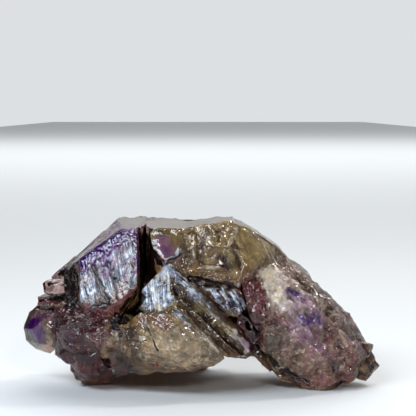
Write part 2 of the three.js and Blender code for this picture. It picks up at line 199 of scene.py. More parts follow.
def stone_around(points, triangles, reach, cell=1.0 * mm, margin=20 * mm):
    """The share of stone in a soft ball round each corner: half on a flat face, more in a cleft,
    less on an edge. The faces' outward areas are laid on a grid a margin wider than the stone,
    whose Fourier sums turn them into stone, as the slope of the stone is what its faces are, and
    blur it by the reach."""
    a, b, c = (points[triangles[:, k]] for k in range(3))
    area = np.cross(b - a, c - a) / 2
    middle = (a + b + c) / 3
    low = points.min(axis=0) - margin
    count = np.ceil((points.max(axis=0) + margin - low) / cell).astype(int)
    index = np.ravel_multi_index(np.round((middle - low) / cell).astype(int).T, count)
    waves = np.meshgrid(*[2 * np.pi * np.fft.fftfreq(n, cell) for n in count], indexing="ij")
    total = sum(w**2 for w in waves)
    total[0, 0, 0] = 1
    flow = 0
    for k in range(3):
        laid = np.bincount(index, area[:, k], count.prod()).reshape(count) / cell**3
        flow = flow + waves[k] * np.fft.fftn(laid)
    stone_waves = 1j * flow / total
    stone_waves[0, 0, 0] = np.sum(middle * area) / 3 / cell**3
    solid = np.fft.ifftn(stone_waves * np.exp(-total * reach**2 / 2)).real
    place = (points - low) / cell
    corner = np.floor(place).astype(int)
    part = place - corner
    found = np.zeros(len(points))
    for step in np.ndindex(2, 2, 2):
        weight = np.prod(np.where(step, part, 1 - part), axis=1)
        found += weight * solid[tuple((corner + step).T)]
    return found


def smooth(value, low, high):
    """0 below low, 1 above high, and an S-shaped rise between them."""
    share = np.clip((value - low) / (high - low), 0, 1)
    return share**2 * (3 - 2 * share)


def within(points, centre, half_sizes, edge=0.35):
    """1 inside an ellipsoid given in millimetres, falling smoothly to 0 over its edge share."""
    far = np.linalg.norm((points / mm - centre) / half_sizes, axis=1)
    return smooth(1 + edge - far, 0, edge)


# Quartz colours, linear red, green and blue.
quartz = {
    "smoke": (0.17, 0.105, 0.05),
    "honey": (0.37, 0.23, 0.08),
    "olive": (0.43, 0.335, 0.15),
    "umber_and_shade": (0.008, 0.003, 0.003),
    "dusk": (0.05, 0.024, 0.014),
    "port": (0.045, 0.006, 0.016),
    "rust": (0.14, 0.045, 0.045),
    "wine": (0.13, 0.012, 0.026),
    "tan": (0.6, 0.45, 0.28),
    "mauve": (0.26, 0.06, 0.085),
    "rose": (0.42, 0.25, 0.24),
    "blush": (0.66, 0.46, 0.43),
    "cream": (0.8, 0.68, 0.48),
    "milk": (0.86, 0.78, 0.75),
    "violet": (0.09, 0.008, 0.23),
    "lilac": (0.4, 0.21, 0.44),
    # window sheen: not a colour of the stone, but the window's reflection painted on as a colour
    "window_sheen": (0.34, 0.41, 0.52),
    "frost": (0.13, 0.105, 0.09),
}

# The crystals as they grew: centre and half sizes in millimetres, the way each one grew, its
# colours at the root and at the tip, how see-through it is, and how glassy its faces are.
crystals = [
    ((0, 0, 20), (42, 22, 22), (0, 0, 1), "smoke", "honey", 0.6, 0.3),  # the body
    ((-22, -4, 28), (11, 14, 12), (-0.2, -0.3, 0.93), "smoke", "lilac", 0.6, 1),  # the head
    ((-34, -1, 23), (5, 7, 2.8), (-1, 0, 0), "blush", "rose", 0.5, 1),  # the window crystal
    ((-34.5, -2, 19.6), (5, 7, 1.8), (-1, 0, 0), "wine", "rust", 0.7, 1),  # the one under it
    ((-37.6, -1, 13), (5.4, 9, 6.5), (0, 0, 1), "frost", "rose", 0.7, 0.9),  # the left tip
    ((-27, -8, 14), (8, 10, 6), (-1, 0, 0.5), "wine", "rust", 0.7, 0),  # the left lumps
    ((-25, -7, 6), (7, 9, 6), (0, 0, -1), "wine", "rust", 0.6, 0.2),  # the foot
    ((-18.6, -14, 11), (4, 5, 5), (0, -1, 0), "wine", "tan", 0.5, 0),  # lumps by the seam
    ((3, -3, 31), (19, 15, 9), (0.6, 0, 0.8), "honey", "olive", 0.55, 1),  # the core
    ((12, -9, 31), (6, 6, 7), (0.5, -0.3, -0.8), "olive", "olive", 0.45, 1),  # its shoulder
    ((-8, -10.5, 33), (4.5, 4, 4), (0, -0.3, -1), "olive", "rose", 0.7, 1),  # the pendant end
    ((0, -14, 18), (13, 6, 12), (-0.72, 0, 0.69), "smoke", "olive", 0.65, 1),  # the slanting one
    ((-7, -17, 11.5), (12, 6, 7), (0.8, -0.5, -0.3), "honey", "tan", 0.35, 0.4),  # the front lump
    ((5, -12.6, 22), (6, 4, 4.5), (0, -1, 0), "smoke", "frost", 0.5, 1),  # the sparkling end
    ((12.2, -12.4, 19.5), (4, 4, 8), (0, 0, 1), "wine", "mauve", 0.6, 0.4),  # the mauve crystal
    ((19, -8, 22), (8, 9, 8), (-0.6, 0, 0.8), "blush", "blush", 0.4, 0),  # the right lobe
    ((27, -6, 12), (10, 10, 9), (0.7, -0.3, -0.7), "rose", "mauve", 0.45, 0),  # its lower half
    ((39, -2, 6), (4.5, 7, 6), (1, 0, -0.3), "smoke", "rust", 0.7, 0.8),  # the right tip
    ((-4, 18, 22), (26, 7, 12), (0, 1, 0.2), "smoke", "lilac", 0.75, 1),  # the ends at the back
    ((18, 15, 14), (12, 6, 10), (0.6, 0.7, 0), "smoke", "lilac", 0.7, 0.9),
    ((-10, 17, 4), (14, 7, 7), (0, 0, -1), "smoke", "dusk", 0.4, 0.5),  # the feet at the back
    ((-25, 7, 5), (9, 8, 7), (0, 0, -1), "smoke", "dusk", 0.4, 0.5),
]

# Where colour gathered along an edge, a seam or a band as the stone grew, and where painted shade,
# painted highlights and the window's sheen lie along one: the colour, the two ends in millimetres,
# how far it reaches from the line between them, its strength, and how far it stands proud of the
# face or, below 0, is cut into it.
gathered = [
    # the head: violet under its upper edge and beside the cleft, and a left facet painted near black
    # as the shade of the dark room it mirrors
    ("violet", (-26.6, -9.2, 29.8), (-18, -9.6, 36), 2, 1, 0),
    ("violet", (-18.6, -9.6, 36.2), (-15.4, -10.4, 36.8), 1.2, 0.6, 0),
    ("violet", (-24.4, -11, 29.6), (-21.6, -12.4, 30), 1.5, 0.7, 0),
    ("violet", (-14.4, -11, 36.5), (-14.3, -14, 29), 0.9, 0.8, 0),
    ("lilac", (-20.4, -13.4, 28), (-17.4, -14, 28), 2.4, 0.7, 0),
    ("umber_and_shade", (-27.6, -8.7, 30.6), (-18, -9.2, 37.5), 0.5, 0.8, -0.1),
    ("umber_and_shade", (-24.6, -10.6, 29), (-20.4, -15.8, 20.9), 0.5, 1, -0.25),
    ("umber_and_shade", (-21.4, -11.4, 30), (-18.8, -16, 22.4), 0.42, 0.8, -0.2),
    ("umber_and_shade", (-24.4, -14.6, 19.8), (-21.4, -15.6, 20.6), 0.9, 0.9, -0.2),
    # painted shade: the left facet near black, as the dark room it mirrors
    ("umber_and_shade", (-30.4, -5, 27), (-29, -9.6, 21.4), 3.2, 1, -0.1),
    ("umber_and_shade", (-32.6, 0, 26.2), (-28.4, -7, 29.6), 1.2, 0.9, -0.1),
    ("mauve", (-25.8, -14.6, 18.6), (-19.6, -16.2, 19.8), 1.6, 0.95, 0),
    ("dusk", (-17.4, -15.4, 25), (-15.6, -13, 31), 1.2, 0.5, 0),
    ("rose", (-20.4, -15.6, 21.6), (-17.4, -15.4, 24), 1.8, 0.6, 0),
    ("mauve", (-19.6, -16.2, 20.2), (-14.6, -16.4, 24), 1, 0.9, 0),
    # the window crystal's dark rims, the crystal under it, the left tip's violet heart
    ("umber_and_shade", (-36.8, -2.4, 21.2), (-31, -6.2, 21.2), 0.9, 1, -0.2),
    ("umber_and_shade", (-36.6, -1.6, 24.3), (-31.4, -4.6, 24.9), 0.9, 1, -0.1),
    ("umber_and_shade", (-37.4, 0, 23.6), (-36.9, -2, 21.8), 0.9, 1, 0),
    ("umber_and_shade", (-31.6, -4.6, 24.6), (-31, -6, 21.6), 1, 1, 0),
    ("umber_and_shade", (-38.4, -0.6, 20.4), (-31, -7.4, 21), 0.7, 0.9, -0.2),
    ("tan", (-35.4, -3.6, 18.6), (-31.4, -7.2, 19.8), 0.5, 0.8, 0.15),
    ("umber_and_shade", (-38.8, 0, 18.4), (-32.5, -7, 18.4), 0.6, 0.8, -0.25),
    ("violet", (-39.4, -3.6, 14.6), (-38, -5.2, 12.8), 2.6, 1, 0),
    ("violet", (-37.4, -5.6, 16.6), (-35.4, -6.8, 17.4), 1.2, 0.6, 0),
    ("dusk", (-41.8, -0.2, 13), (-39.2, -0.8, 8.6), 0.5, 0.7, 0),
    ("dusk", (-41.6, 0, 13.6), (-39, 0.6, 18), 0.5, 0.7, 0),
    ("cream", (-35.8, -7.2, 14.6), (-34.8, -7.6, 11), 0.6, 0.6, 0.15),
    # the left lumps: a stained shoulder, the dark hollow, and pale grains beside the seam
    ("wine", (-31.6, -9, 14.6), (-25, -13.4, 12.4), 3, 0.6, 0),
    ("wine", (-29, -9.4, 6), (-23, -12.6, 3.6), 2.6, 0.6, 0),
    ("port", (-33, -8, 12), (-33, -7.6, 17), 1.1, 0.8, -0.2),
    ("port", (-31, -11, 10), (-26.4, -14, 9), 2.1, 0.85, -0.3),
    ("violet", (-31, -10.6, 16), (-28, -13, 13.4), 2, 0.45, 0),
    ("port", (-30, -11, 19), (-24, -14, 18), 1, 0.7, -0.1),
    ("rose", (-24, -15.4, 13), (-21, -17, 13.6), 2, 0.7, 0),
    ("cream", (-20.4, -17, 12.6), (-18.8, -16.6, 13.6), 1, 0.75, 0.1),
    ("umber_and_shade", (-26, -12, 5.2), (-20, -13.4, 6.2), 0.8, 0.6, -0.2),
    # the seam under the head and the cleft beside the core
    ("umber_and_shade", (-14, -16, 22.6), (-19.6, -14.6, 15.6), 1.5, 1, -0.35),
    ("umber_and_shade", (-18.8, -16.4, 16), (-17, -17.6, 11.4), 1, 0.8, -0.35),
    ("dusk", (-18.6, -15.4, 8.8), (-15, -15.4, 5.4), 1.8, 1, -0.3),
    ("umber_and_shade", (-12.8, -8, 37.4), (-12.2, -8, 27), 2.1, 1, -0.35),
    ("umber_and_shade", (-11.8, -9.8, 34), (-9.8, -12, 29.2), 1.6, 0.95, -0.1),
    ("lilac", (-8.6, -10.6, 34.6), (-7.6, -11.6, 32.4), 1.8, 0.9, 0),
    ("violet", (-7.8, -11.2, 33.4), (-7.2, -11.6, 32), 1.2, 0.3, 0),
    ("mauve", (-10.8, -11.4, 32.4), (-8.6, -12.8, 30.6), 0.8, 0.8, 0),
    ("umber_and_shade", (-11, -11.6, 32.2), (-8, -13.6, 29.6), 0.55, 0.9, -0.2),
    ("umber_and_shade", (-8, -13.6, 29.6), (-4.4, -11.6, 31.6), 0.5, 0.8, -0.2),
    ("window_sheen", (-4.8, -11.2, 33), (-6.6, -13, 30.4), 0.5, 0.9, 0.15),
    ("window_sheen", (-8.4, -13, 29), (-7.8, -13.4, 27.6), 1.3, 0.9, 0),
    # the core: seams between its three parts, ribs with painted highlights, the recess, and the painted
    # shadow under its ledge
    ("dusk", (-3.6, -10.2, 36.6), (-3.2, -12.6, 29), 0.9, 0.9, -0.35),
    ("smoke", (-2.8, -12.6, 29.6), (2.6, -12.6, 29.8), 1.2, 0.8, 0),
    ("olive", (-0.4, -9.8, 37.4), (2.4, -11, 35), 1.8, 0.7, 0),
    ("olive", (9.6, -9, 35.6), (13.6, -9.6, 30.4), 2.2, 0.7, 0),
    ("olive", (-6, -10, 36.4), (-2, -10.6, 34), 1.8, 0.6, 0),
    ("dusk", (-1.8, -9.6, 37), (-0.4, -11, 33.8), 0.55, 0.9, -0.3),
    ("dusk", (1.2, -10, 37), (0.2, -11, 33.8), 0.55, 0.9, -0.3),
    ("dusk", (4.2, -10.2, 37), (3.6, -11.4, 34.2), 0.55, 0.8, -0.3),
    ("milk", (-2.4, -10.4, 36), (-1.6, -12, 31.4), 0.5, 0.6, 0.2),
    ("dusk", (-0.6, -11, 34), (0.2, -12.4, 29.6), 0.6, 0.8, -0.25),
    ("milk", (1.6, -11.6, 34), (2.4, -12.4, 30.4), 0.5, 0.6, 0.2),
    ("dusk", (3.4, -12, 31.6), (5.8, -12, 28.8), 1.5, 1, -0.35),
    ("milk", (0.2, -12.8, 28.9), (4, -12.8, 28.8), 0.5, 0.7, 0.2),
    ("dusk", (-2.6, -13, 27.8), (8, -13, 26.2), 0.5, 0.9, -0.2),
    ("umber_and_shade", (-2.4, -13, 26.4), (8.9, -13, 23.8), 0.9, 0.9, -0.35),
    ("honey", (-2, -12.6, 28.6), (8, -12.8, 26.4), 1.4, 0.6, 0),
    ("dusk", (7.6, -10.6, 34.6), (9.2, -12, 28.6), 0.8, 0.9, -0.3),
    ("cream", (8, -9.4, 37.6), (6.8, -11.2, 34), 0.5, 0.9, 0.2),
    ("cream", (8, -9.4, 37.6), (11, -8, 37), 0.5, 0.8, 0.15),
    ("dusk", (15.4, -9, 30.4), (10.6, -12, 24.8), 0.8, 0.75, -0.3),
    ("dusk", (17.4, -5, 32.6), (12, -7, 37), 0.6, 0.6, -0.2),
    ("dusk", (18.6, -4.4, 32), (13, -8.6, 29.4), 0.8, 0.8, -0.3),
    # the slanting crystal: two dark growth bands, and painted highlights on the bright edge beside them
    ("dusk", (-5.4, -15.6, 24.8), (9.4, -15.4, 10.2), 1.5, 1, -0.35),
    ("umber_and_shade", (-4.4, -16, 22.8), (9, -15.6, 9.8), 0.6, 0.9, -0.1),
    ("dusk", (-4.8, -16.6, 21.4), (6.8, -16.6, 10), 0.7, 0.8, -0.35),
    ("window_sheen", (-7, -13.6, 28.8), (-1, -14.6, 22.4), 1.1, 0.95, 0.2),
    ("milk", (-1, -14.6, 22.4), (6.6, -15, 15), 0.35, 0.8, 0.2),
    ("dusk", (-5, -12.4, 28.8), (2.1, -13, 22.2), 0.6, 0.9, -0.2),
    ("dusk", (2.1, -13, 22.2), (12, -13.6, 10.6), 0.8, 1, -0.2),
    ("window_sheen", (-5.4, -18.2, 19.6), (2.6, -19, 13.2), 0.7, 0.75, 0.15),
    ("olive", (-1, -15.6, 20.8), (9.4, -15, 12), 0.9, 0.8, 0),
    ("milk", (-2.6, -18.6, 17.6), (4, -18.4, 10.6), 0.35, 0.7, 0.2),
    ("milk", (7.6, -15, 13.6), (10.2, -14.8, 11.2), 1, 0.8, 0.1),
    ("lilac", (9.8, -14.6, 12.4), (11, -14.2, 11.4), 0.7, 0.8, 0),
    # the front lump: a brown underside, and pale ridges along its foot
    ("dusk", (-15, -17.6, 7.2), (2, -18, 6.4), 1.3, 0.6, 0),
    ("tan", (-8, -21, 12.6), (-1, -20.6, 11.2), 3, 0.8, 0),
    ("dusk", (-15.6, -17.6, 16.6), (-13.6, -19.4, 10), 1.5, 0.75, 0),
    ("dusk", (-11.6, -20, 10), (-9, -20.4, 8.6), 1.1, 0.6, 0),
    ("dusk", (0, -20, 12.6), (3.4, -19, 9.4), 1, 0.6, 0),
    ("mauve", (-12.4, -18, 18), (-8, -19.6, 16.6), 1.6, 0.5, 0),
    ("cream", (-8, -18.6, 7), (2, -17.8, 7.6), 0.5, 0.75, 0.2),
    ("cream", (-6, -20.6, 9.4), (-1, -20, 8.8), 0.4, 0.6, 0.15),
    ("dusk", (-4, -20.4, 10.4), (2, -19.2, 9.6), 0.4, 0.6, -0.2),
    ("dusk", (-16.4, -17.4, 14.4), (-14.4, -18, 9), 1.4, 0.5, -0.1),
    # the mauve crystals and the dark seam under them
    ("wine", (10.6, -12.6, 24.4), (14, -13, 22), 2.2, 0.85, 0),
    ("wine", (14, -13.8, 21), (13.6, -14, 16), 1.4, 0.85, 0),
    ("port", (10.2, -13, 18), (12.6, -13, 12), 2.2, 0.9, 0),
    ("umber_and_shade", (9, -13.4, 17.4), (12.4, -13.2, 11.4), 0.6, 0.8, 0),
    # the right lobe: cream at its shoulder, violet clouds, and painted shade along its lower edges
    ("milk", (16.2, -11, 27), (18, -13.2, 21.6), 2.6, 0.6, 0.15),
    ("milk", (18, -13.2, 21.6), (23, -13.6, 17), 1.6, 0.7, 0.15),
    ("cream", (15, -11, 27.4), (17.4, -12.8, 22), 2, 0.6, 0),
    ("lilac", (22, -13.6, 16), (29, -11.6, 17.4), 2.6, 0.55, 0),
    ("rose", (18, -13.6, 12.6), (27, -12.6, 5.6), 2, 0.6, 0),
    ("mauve", (27, -12.4, 13), (34, -9, 8), 1.6, 0.5, 0),
    ("lilac", (24, -13.4, 13), (27.4, -12.4, 9), 1.8, 0.45, 0),
    ("wine", (17.4, -13.4, 19), (20, -13.6, 17.6), 1, 0.8, 0),
    ("violet", (23.4, -13.8, 17.2), (27.4, -12, 17), 1.2, 1, 0),
    ("violet", (20, -11.6, 23.8), (21.8, -11.2, 22.4), 0.9, 1, 0),
    ("lilac", (20.4, -12, 21.4), (25, -11, 19.8), 2, 0.5, 0),
    ("violet", (23, -11.6, 20.8), (25, -11, 20), 0.8, 0.7, 0),
    ("violet", (25.4, -12.8, 12), (27, -12, 8), 1.6, 0.5, 0),
    ("dusk", (22, -2, 28.6), (34.6, -2, 16.6), 1.6, 0.6, 0),
    ("mauve", (14.6, -13.4, 19), (18.4, -13.6, 17), 1.2, 0.8, 0),
    ("dusk", (15, -13.4, 15.6), (16.6, -13.4, 13.6), 1.3, 0.5, -0.1),
    ("smoke", (24, -6, 24), (36, -4, 12), 2.6, 0.75, 0),
    ("umber_and_shade", (14, -13.6, 21), (13.4, -13.2, 12), 0.7, 0.7, -0.3),
    # painted shade: the lobe's lower edges darkened where shade falls under it
    ("umber_and_shade", (13.4, -13, 9.8), (21, -10.6, 2.8), 1.3, 1, -0.35),
    ("umber_and_shade", (21, -10.2, 2.4), (33, -7.8, 1), 1, 0.9, -0.35),
    ("dusk", (15.6, -13.4, 12), (22, -12, 5.4), 2.4, 0.5, -0.1),
    ("smoke", (22, -12.4, 7.4), (31, -10, 5), 2, 0.5, 0),
    # the right tip
    ("umber_and_shade", (36.6, -6.4, 3.2), (40.4, -4.6, 5), 1.2, 0.75, -0.35),
    ("cream", (33.6, -8.6, 10.4), (36, -7, 8), 0.6, 0.7, 0.15),
    ("violet", (37.6, -4, 7.6), (40, -2, 7), 1.2, 0.6, 0),
]

# Faces whose fine growth steps get a painted reflection of the window: centre and half sizes in
# millimetres, the way they face, and the way their steps run.
painted_glint_faces = [
    # the head's large face, the slanting crystal's left face, and the sparkling end
    ((-21, -12.6, 27.4), (8.6, 6, 8.4), (-0.33, -0.858, 0.395), (0.26, -0.42, -0.87)),
    ((-10.2, -15.6, 24.8), (4.6, 5, 5), (-0.137, -0.887, 0.44), (0.1, -0.44, -0.9)),
    ((5, -13, 22), (5.6, 3, 4.6), (0.1, -0.9, 0.4), (0.5, -0.3, -0.8)),
]

# One hairline crack runs down the front lump: its two ends in millimetres, across and up.
crack_top, crack_foot = (-13, 0, 18.6), (-9.4, 0, 11.4)


def near_line(points, start, end, reach):
    """1 close to the line between two places in millimetres, falling smoothly to 0 at 1.5 times
    its reach, and 0.5 at about its reach."""
    start = np.array(start, dtype=float)
    end = np.array(end, dtype=float)
    away = points / mm - start
    share = np.clip(away @ (end - start) / np.sum((end - start) ** 2), 0, 1)
    far = np.linalg.norm(away - share[:, None] * (end - start), axis=1)
    return 1 - smooth(far / reach, 0.5, 1.5)


def fineness(middles):
    """The longest edge allowed at each place: short on the front, longer towards the back, about
    half as long beside the narrow marks, and shorter still beside the crack."""
    on_front, on_back, beside_marks, beside_crack = 0.9, 1.6, 0.48, 0.35
    longest = on_front + (on_back - on_front) * smooth(middles[:, 1] / mm, -3, 4)
    for _, start, end, reach, _, _ in gathered:
        if reach < 1:
            close = near_line(middles, start, end, 1.4)
            longest = longest - np.maximum(longest - beside_marks, 0) * close
    close = near_line(middles * (1, 0, 1), crack_top, crack_foot, 0.8) * (middles[:, 1] < -14 * mm)
    return (longest - np.maximum(longest - beside_crack, 0) * close) * mm


def mixed(colour, other, amount):
    """One colour turned into another by an amount for each corner."""
    return colour * (1 - amount[:, None]) + amount[:, None] * np.array(other)


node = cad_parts["amethyst_cluster"]
points, triangles = merged_triangles(node)
points, triangles = split_long_edges(points, triangles, fineness)

# How far each corner belongs to each crystal, the mix of what the crystals are made of, and each
# corner's place squeezed along its main crystal, which draws a noise out into streaks. Where two
# overlap, the smaller one wins. Those with a rose tip are calm: the material mottles them little.
bend = np.stack([soft_noise(points, 3 * mm, seed) for seed in (11, 12, 13)], axis=1)
warped = points + 0.8 * mm * bend
drawn_out = 0.85
belongs, colour_of, clear_of, glassy_of, calm_of, squeezed_of = ([] for _ in range(6))
for centre, half_sizes, grew, root, tip, see_through, glassiness in crystals:
    grew = np.array(grew) / np.linalg.norm(grew)
    along = (warped / mm - centre) @ grew / np.linalg.norm(grew * half_sizes)
    grown = smooth(along + 0.35 * bend[:, 0], -0.3, 0.8)
    belongs.append(within(warped, centre, half_sizes, 0.4) ** 2 / math.prod(half_sizes) ** 0.7)
    colour_of.append(mixed(np.tile(quartz[root], (len(points), 1)), quartz[tip], grown))
    clear_of.append(see_through)
    glassy_of.append(glassiness)
    calm_of.append(float(tip == "rose"))
    squeezed_of.append(points - drawn_out * (points @ grew)[:, None] * grew)
belongs = np.array(belongs) + 1e-6
belongs /= belongs.sum(axis=0)
main = belongs.argmax(axis=0)
tint = np.einsum("cp,cpk->pk", belongs, np.array(colour_of))
clear = np.array(clear_of) @ belongs
glassy = np.array(glassy_of) @ belongs
squeezed = np.array(squeezed_of)[main, np.arange(len(points))]
lumpy = 1 - glassy
points = relaxed(points, triangles, amount=0.04 + 0.5 * lumpy, times=6)
normals = corner_normals(points, triangles)

# The relief in millimetres: swells and two sizes of parallel crystals on the lumps, and growth
# steps with fainter crystals on the faces. The feet stay flat.
swell_height, crystal_height, step_height, faint_height = 0.35, 1.1, 0.13, 0.1
lowest, highest, foot_height = -1, 0.6, 0.25
swell = soft_noise(points, 4.6 * mm, 1)
coarse, coarse_mark = parallel_growth(points + 0.4 * mm * bend, 4.2 * mm, 3)
small, small_mark = parallel_growth(points, 1.9 * mm, 5)
steps = np.floor(3 * soft_noise(squeezed, 1.6 * mm, 4) + 0.5) / 3
raised = 0.2
on_lumps = crystal_height * (coarse + raised) + crystal_height * (small + raised)
height = lumpy * (swell_height * swell + on_lumps)
height += glassy * (step_height * steps + faint_height * (coarse + raised))
fray = np.stack([soft_noise(points, 1.1 * mm, seed) for seed in (14, 15, 16)], axis=1)
covering = []
for colour, start, end, reach, strength, depth in gathered:
    strayed = points + mm * min(1, reach) * (0.9 * bend + 0.9 * fray)
    covered = near_line(strayed, start, end, reach)
    covering.append((colour, strength * covered))
    height += depth * covered
height = np.where(points[:, 2] < foot_height * mm, 0, np.clip(height, lowest, highest))
points = points + mm * height[:, None] * normals
points[:, 2] = np.maximum(points[:, 2], 0)
normals = corner_normals(points, triangles)

# The flat top is frosted, and the lumps' grains and stains stop short of it.
top = smooth(normals[:, 2], 0.75, 0.93) * smooth(points[:, 2] / mm, 34, 36)
lumpy = lumpy * (1 - top)


def blotches(size, seed, low, high):
    """Soft blotches from 0 to 1: noise of a size in millimetres, stretched from low to high."""
    return smooth(soft_noise(warped, size * mm, seed), low, high)


# Each small crystal has a tone of its own, wine-red stains run through the lumps, pale spots lie
# on the right lobe and the front lump, and the hollows between the lumps' grains get painted shade.
tint = tint * (0.72 + 0.56 * (0.5 * coarse_mark + 0.5 * small_mark))[:, None]
tint = mixed(tint, quartz["wine"], 0.5 * lumpy * blotches(3.1, 22, 0.08, 0.4))
spotted_lobe = within(points, (25.4, -12, 15), (11, 8, 13))
spotted_front = within(points, (-5, -20, 12), (9, 5, 6))
speckled = np.maximum(spotted_lobe, spotted_front)
tint = mixed(tint, quartz["cream"], 0.5 * (speckled * blotches(1.5, 23, 0.15, 0.45)))
tint = mixed(tint, quartz["dusk"], 0.6 * lumpy * blotches(1.3, 24, 0.25, 0.5))
# Painted shade: dusk in the low places of the relief on the lumps.
tint = mixed(tint, quartz["dusk"], 0.6 * lumpy * smooth(-height, 0.15, 0.8))
tint = mixed(tint, quartz["dusk"], 0.4 * (1 - top) * blotches(2.1, 25, 0.1, 0.5))

# The hairline crack is a plane that cuts straight into the front lump.
flattened = (points + 0.25 * mm * fray) * (1, 0, 1)
crack = near_line(flattened, crack_top, crack_foot, 0.3) * smooth(-points[:, 1] / mm, 14, 16)

# Violet gathers in the lobe in patches of its own, and everything else along its line. The
# material lays umber, violet and cream itself, so only how much of each is kept here.
patchy = blotches(3.2, 21, 0.2, 0.5) * smooth(points[:, 0] / mm, 12, 24)
laid_on = {"umber_and_shade": 0.68 * crack, "violet": 0.4 * patchy, "cream": 0.28 * speckled}
for colour, share in covering:
    if colour in laid_on:
        laid_on[colour] = np.maximum(laid_on[colour], share)
    else:
        tint = mixed(tint, quartz[colour], share)

# The window's reflection is painted as bright growth steps on the faces that lie in their crystal's
# own plane, and along every line of window sheen. Other colours dull it, except umber and lilac.
steps_drawn_out = 0.93
painted_glint = np.zeros(len(points))
for centre, half_sizes, facing, run in painted_glint_faces:
    facing = np.array(facing) / np.linalg.norm(facing)
    run = np.array(run) / np.linalg.norm(run)
    found = within(points, centre, half_sizes, 0.3) * smooth(normals @ facing, 0.86, 0.97)
    along_run = points - steps_drawn_out * (points @ run)[:, None] * run
    squeezed = np.where((found > 0.2)[:, None], along_run, squeezed)
    painted_glint = np.maximum(painted_glint, found)
for colour, share in covering:
    if colour == "window_sheen":
        painted_glint = np.maximum(painted_glint, share)
    elif colour not in ("umber_and_shade", "lilac"):
        painted_glint *= 1 - share

# Painted shade from the stone round each place: clefts are painted near black in umber and the
# hollows between the lumps deep red, and the lumps' tops are painted paler. Worn edges of the glassy
# crystals are tan.
close_by = stone_around(points, triangles, 1.6 * mm)
wide = stone_around(points, triangles, 4 * mm)
painted_cleft_shade = np.maximum(smooth(close_by, 0.56, 0.74), smooth(wide, 0.6, 0.78))
worn = smooth(0.5 - close_by, 0.06, 0.24)
laid_on["umber_and_shade"] = np.maximum(laid_on["umber_and_shade"], painted_cleft_shade)
painted_hollow_shade = smooth(close_by, 0.5, 0.62)
tint = mixed(tint, quartz["port"], 0.75 * lumpy * painted_hollow_shade)
# Painted light: the lumps' rounded tops are made paler.
tint = tint * (1 + 0.35 * lumpy * smooth(0.5 - close_by, 0.02, 0.12))[:, None]
tint = mixed(tint, quartz["tan"], 0.12 * worn * glassy)

# Frosting hides most of the colours under it. Places with the painted glint, frosted places and
# umber places, painted cleft shade among them, let less light through.
for laid_colour in laid_on:
    laid_on[laid_colour] = laid_on[laid_colour] * (1 - 0.8 * top)
tint = mixed(tint, quartz["frost"], 0.96 * top)
clear = (0.4 + 0.6 * clear) * (1 - 0.35 * painted_glint) * (1 - 0.6 * top) * (1 - 0.92 * laid_on["umber_and_shade"])
calm = np.maximum(np.array(calm_of) @ belongs, 0.8 * top)

# Milky quartz is smoother and less see-through than the rest.
for colour, share in covering:
    if colour == "milk":
        calm = np.maximum(calm, 0.5 * share)
        clear = clear * (1 - 0.35 * share)

skin = bpy.data.meshes.new("amethyst_skin")
skin.from_pydata(points.tolist(), [], triangles.tolist())
skin.update()
stone = bpy.data.objects.new("amethyst_skin", skin)
scene.collection.objects.link(stone)
skin.polygons.foreach_set("use_smooth", np.ones(len(triangles), dtype=bool))
skin.set_sharp_from_angle(angle=math.radians(22))


def stored(name, kind, slot, values):
    """Keeps a value for each corner of the skin under a name that the material reads."""
    kept = skin.attributes.new(name, kind, "POINT")
    kept.data.foreach_set(slot, np.ascontiguousarray(values, dtype=np.float32).ravel())


shares = {"clear": clear, "glassy": glassy, "painted_glint": painted_glint, "calm": calm}
shares |= {"speckled": 0.15 + 0.85 * speckled, "frosted": top, **laid_on}
for name, share in shares.items():
    stored(name, "FLOAT", "value", share)
stored("squeezed", "FLOAT_VECTOR", "vector", squeezed)
stored("tint", "FLOAT_COLOR", "color", np.column_stack([np.clip(tint, 0, 1), np.ones(len(points))]))

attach(stone, "root")
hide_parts("amethyst_cluster")


